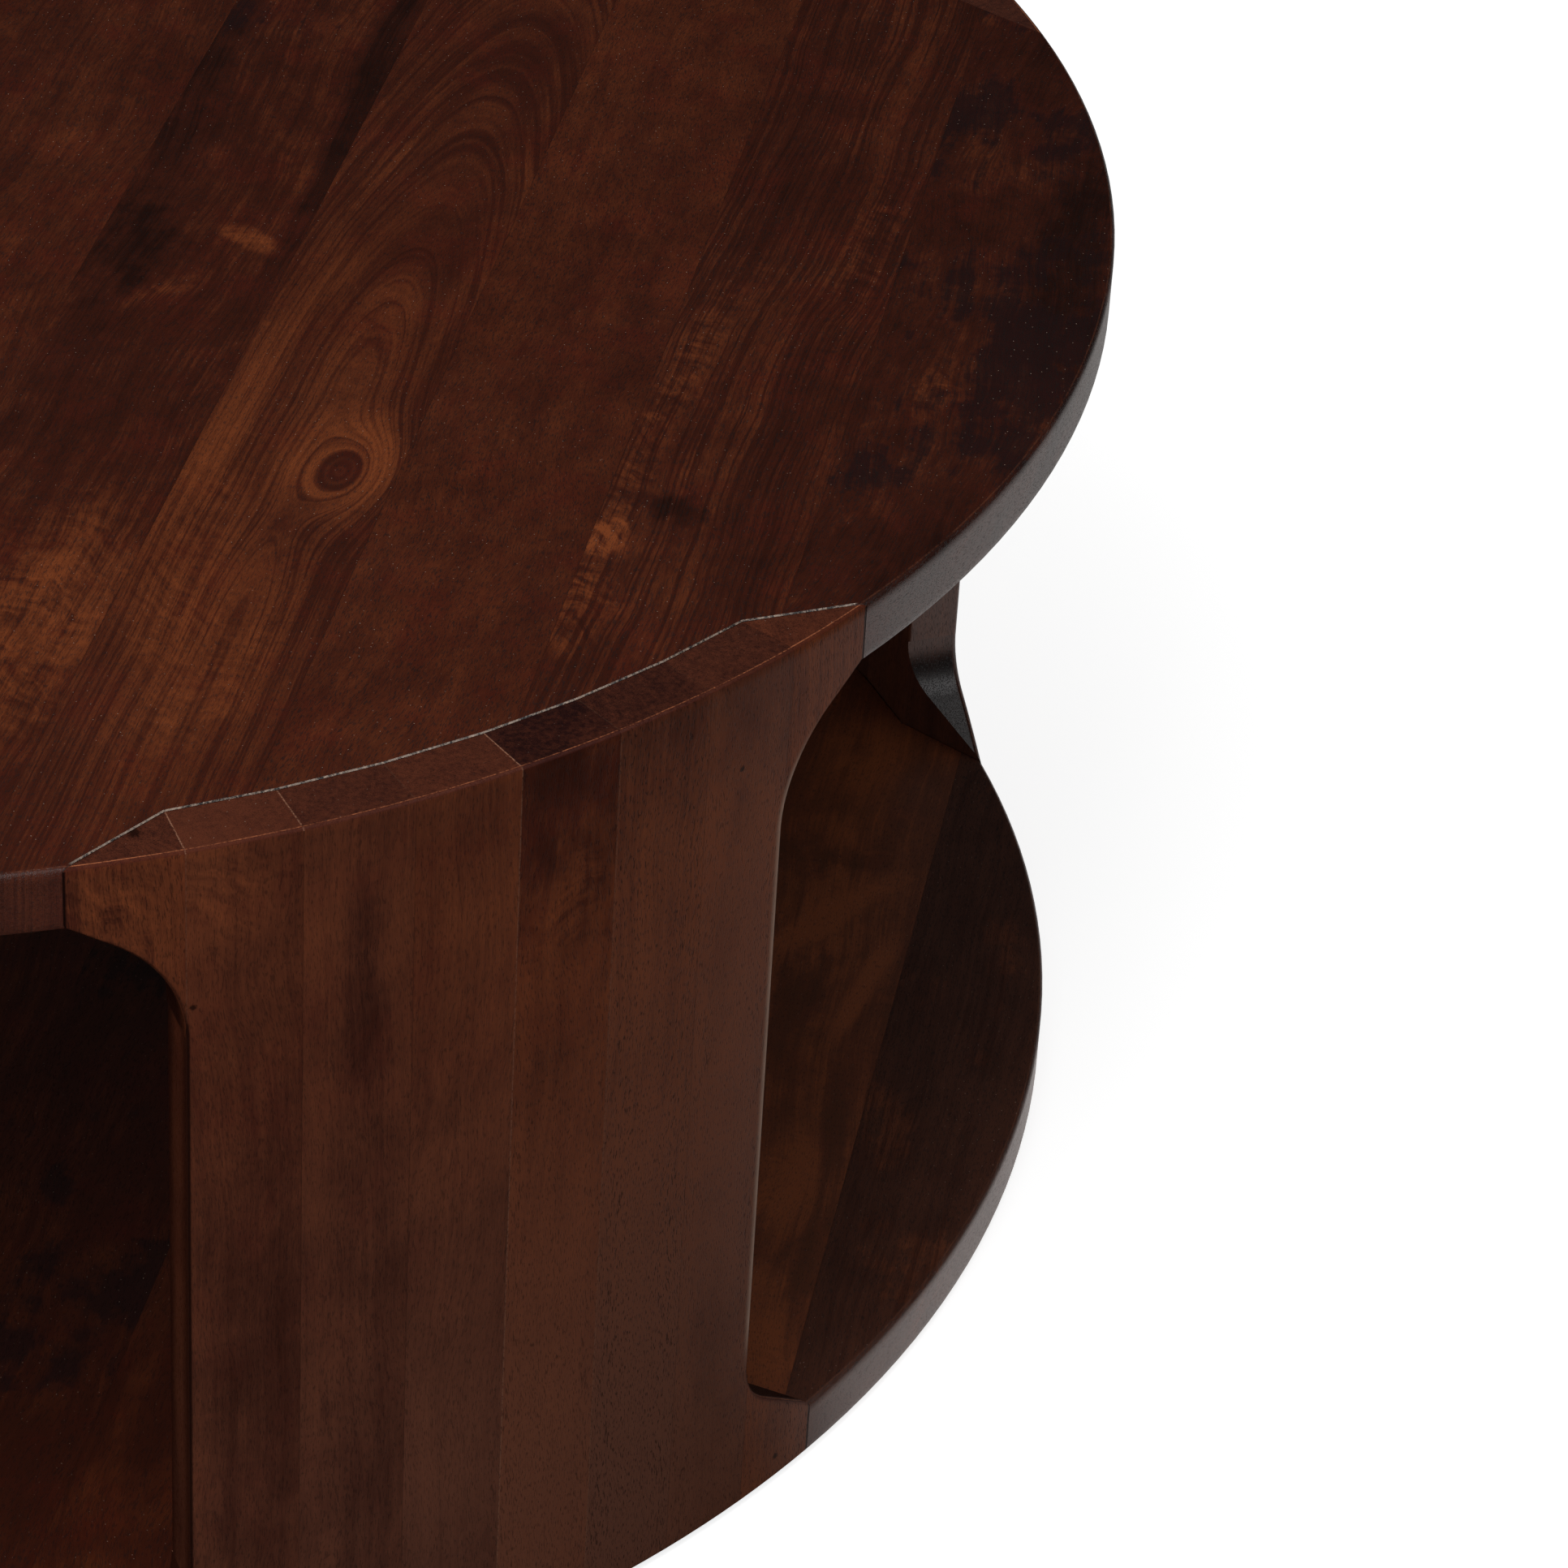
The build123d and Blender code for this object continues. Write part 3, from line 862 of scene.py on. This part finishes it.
class DRUMTABLE_OT_shelf(Operator):
    """Stained boards of the shelf"""

    bl_idname = "drumtable.shelf"
    bl_label = "Shelf boards"

    def execute(self, context):
        dress_boards("shelf_", SHELF_CUTS, 20, 30.0)
        return {"FINISHED"}


class DRUMTABLE_OT_legs(Operator):
    """Stained staves and ears of the four legs"""

    bl_idname = "drumtable.legs"
    bl_label = "Coopered legs"

    def execute(self, context):
        # Each piece's name, the turn of its middle from the leg's, and its width, in staves
        middle = (WAIST_STAVES + 1) / 2
        pieces = [(f"stave_{n}", n - middle, 1) for n in range(1, WAIST_STAVES + 1)]
        pieces += [("upper_ears", 0.0, WAIST_STAVES), ("lower_ears", 0.0, WAIST_STAVES)]
        seed = 60.0
        for leg, leg_angle in LEG_ANGLES.items():
            for piece, off_middle, staves in pieces:
                name = f"{leg}_{piece}"
                turn = radians(leg_angle) + off_middle * STAVE_ANGLE
                cut = STAVE_CUTS.get(name, settled(seed, True))
                dress(name, stave_material(name, cut, seed, turn, staves * STAVE_ANGLE / 2))
                seed += 1.0
        return {"FINISHED"}


class DRUMTABLE_OT_dowels(Operator):
    """Bare wood of the dowels between the legs and both rounds"""

    bl_idname = "drumtable.dowels"
    bl_label = "Dowels"

    def execute(self, context):
        no_seam = Lay((0, 0, 0), 0.0, False, lambda across, x: abs(x) + 1.0)
        dress("leg_dowels", wood("dowel_wood", Cut(tone=0.9, pores=0.2), 99.0, no_seam))
        return {"FINISHED"}


class DRUMTABLE_OT_glides(Operator):
    """Moulded nylon of the nail-on glides"""

    bl_idname = "drumtable.glides"
    bl_label = "Glides"

    def execute(self, context):
        material = bpy.data.materials.new("glide_nylon")
        s = Shader(material)
        spot = s.node("ShaderNodeTexCoord", output="Object")
        cloud = s.noise(s.scaled(spot, NYLON_SCALE), 3.0)
        colour = s.blend(cloud, (0.02, 0.018, 0.016, 1), (0.045, 0.04, 0.036, 1))
        surface = s.node(
            "ShaderNodeBsdfPrincipled", None,
            {"Base Color": colour, "Roughness": 0.45 + cloud * 0.2})
        s.node("ShaderNodeOutputMaterial", None, {"Surface": surface})
        dress("glides", material)
        return {"FINISHED"}


class DRUMTABLE_OT_stage(Operator):
    """Pale floor, soft lamps and the camera"""

    bl_idname = "drumtable.stage"
    bl_label = "Stage"

    def execute(self, context):
        place_floor()
        place_lamps(context.scene.drumtable_stage)
        place_camera(context.scene.drumtable_stage)
        context.scene.view_settings.view_transform = "Standard"
        return {"FINISHED"}


def place_floor():
    """Floor, white to the camera, a painted glow to reflections and pale to everything else, that
    keeps shadows.

    From below it can't be seen, so that it doesn't hide the table's underside.
    """
    mesh = bpy.data.meshes.new("floor")
    corners = [(FLOOR_REACH * x, FLOOR_REACH * y, 0)
               for x, y in ((-1, -1), (1, -1), (1, 1), (-1, 1))]
    mesh.from_pydata(corners, [], [(0, 1, 2, 3)])
    floor = bpy.data.objects.new("floor", mesh)
    bpy.context.scene.collection.objects.link(floor)
    material = bpy.data.materials.new("floor_paint")
    s = Shader(material)
    seen = s.node("ShaderNodeLightPath", output="Is Camera Ray")
    mirrored = s.node("ShaderNodeLightPath", output="Is Glossy Ray")
    x, y, _ = s.parts(s.node("ShaderNodeTexCoord", output="Object"))
    # Painted reflection: to glossy rays alone one side of the floor glows, as a lit floor would,
    # weaker far back
    by_y, by_x, offset = BRIGHT_SIDE
    bright = (y * by_y + x * by_x + offset).step(-0.02, 0.05)
    glow = bright * (0.80 - y.step(0.1, 0.7) * 0.25) + 0.02
    diffuse = s.node("ShaderNodeBsdfDiffuse", None, {"Color": (0.70, 0.70, 0.70, 1)})
    paper = s.node("ShaderNodeEmission", None, {"Color": (1, 1, 1, 1), "Strength": seen * 0.80})
    lit = s.node("ShaderNodeAddShader", None, {0: diffuse, 1: paper})
    reflected = s.node("ShaderNodeEmission", None,
                       {"Color": (1.0, 0.955, 0.93, 1), "Strength": glow})
    upper = s.node("ShaderNodeMixShader", None, {0: mirrored, 1: lit, 2: reflected})
    below = s.node("ShaderNodeNewGeometry", output="Backfacing")
    clear = s.node("ShaderNodeBsdfTransparent", None, {"Color": (1, 1, 1, 1)})
    surface = s.node("ShaderNodeMixShader", None, {0: below, 1: upper, 2: clear})
    s.node("ShaderNodeOutputMaterial", None, {"Surface": surface})
    mesh.materials.append(material)


def lamp(name, place, target, size, watts, lights_matt=True):
    """Area lamp aimed at target. One that doesn't light matt surfaces only gleams."""
    data = bpy.data.lights.new(name, "AREA")
    data.shape = "RECTANGLE"
    data.size, data.size_y = size
    data.energy = watts
    made = bpy.data.objects.new(name, data)
    made.visible_diffuse = lights_matt
    made.location = place
    made.rotation_euler = (Vector(target) - Vector(place)).to_track_quat("-Z", "Y").to_euler()
    bpy.context.scene.collection.objects.link(made)


def place_lamps(stage):
    """A large soft lamp over the front, a weaker one at the left, and an even sky.

    A third lamp at the right only shows as a highlight on lacquered edges.
    """
    lamp("key_lamp", place=(-0.6, -1.8, 2.6), target=(0, 0, 0.3), size=(2.4, 2.4),
         watts=stage.key)
    lamp("fill_lamp", place=(-2.6, -1.6, 1.0), target=(0, 0, 0.2), size=(1.5, 1.5),
         watts=stage.fill)
    lamp("gleam_lamp", place=(1.57, -0.42, 1.82), target=(0.47, 0.24, 0.1), size=(1.2, 1.2),
         watts=stage.gleam, lights_matt=False)
    world = bpy.data.worlds.new("studio")
    bpy.context.scene.world = world
    s = Shader(world)
    seen = s.node("ShaderNodeLightPath", output="Is Camera Ray")
    mirrored = s.node("ShaderNodeLightPath", output="Is Glossy Ray")
    strength = seen * (1.0 - stage.sky) - mirrored * (stage.sky - MIRRORED_SKY) + stage.sky
    sky = s.node("ShaderNodeBackground", None, {"Color": (1, 1, 1, 1), "Strength": strength})
    s.node("ShaderNodeOutputWorld", None, {"Surface": sky})


def place_camera(stage):
    """Camera from its distance, height, turn about the axis, pan, pitch and roll."""
    data = bpy.data.cameras.new("camera")
    data.sensor_width = 36.0
    data.lens = stage.lens
    data.clip_end = 100.0
    camera = bpy.data.objects.new("camera", data)
    heading = stage.pan - stage.side
    place = Vector((stage.distance * sin(stage.side), -stage.distance * cos(stage.side),
                    stage.height))
    ahead = Vector((cos(stage.pitch) * sin(heading), cos(stage.pitch) * cos(heading),
                    -sin(stage.pitch)))
    level = Vector((cos(heading), -sin(heading), 0.0))
    upright = level.cross(ahead)
    right = level * cos(stage.roll) + upright * sin(stage.roll)
    up = upright * cos(stage.roll) - level * sin(stage.roll)
    camera.matrix_world = Matrix((right, up, -ahead)).transposed().to_4x4()
    camera.location = place
    bpy.context.scene.collection.objects.link(camera)
    bpy.context.scene.camera = camera


class DRUMTABLE_PT_panel(Panel):
    """Lists the table's pieces and its stage"""

    bl_idname = "DRUMTABLE_PT_panel"
    bl_label = "Drum table"
    bl_space_type = "VIEW_3D"
    bl_region_type = "UI"
    bl_category = "Drum table"

    def draw(self, context):
        for operator in OPERATORS:
            self.layout.operator(operator.bl_idname)
        for group in (context.scene.drumtable_stain, context.scene.drumtable_grain,
                      context.scene.drumtable_stage):
            box = self.layout.box()
            for name in group.__annotations__:
                box.prop(group, name)


OPERATORS = (
    DRUMTABLE_OT_top,
    DRUMTABLE_OT_shelf,
    DRUMTABLE_OT_legs,
    DRUMTABLE_OT_dowels,
    DRUMTABLE_OT_glides,
    DRUMTABLE_OT_stage,
)
CLASSES = (DRUMTABLE_PG_stain, DRUMTABLE_PG_grain, DRUMTABLE_PG_stage, *OPERATORS,
           DRUMTABLE_PT_panel)


def register():
    for made in CLASSES:
        bpy.utils.register_class(made)
    scene = bpy.types.Scene
    scene.drumtable_stain = PointerProperty(type=DRUMTABLE_PG_stain)
    scene.drumtable_grain = PointerProperty(type=DRUMTABLE_PG_grain)
    scene.drumtable_stage = PointerProperty(type=DRUMTABLE_PG_stage)


def unregister():
    for name in ("drumtable_stain", "drumtable_grain", "drumtable_stage"):
        delattr(bpy.types.Scene, name)
    for made in reversed(CLASSES):
        bpy.utils.unregister_class(made)


def main():
    register()
    bpy.ops.drumtable.top()
    bpy.ops.drumtable.shelf()
    bpy.ops.drumtable.legs()
    bpy.ops.drumtable.dowels()
    bpy.ops.drumtable.glides()
    bpy.ops.drumtable.stage()


if __name__ == "__main__":
    main()
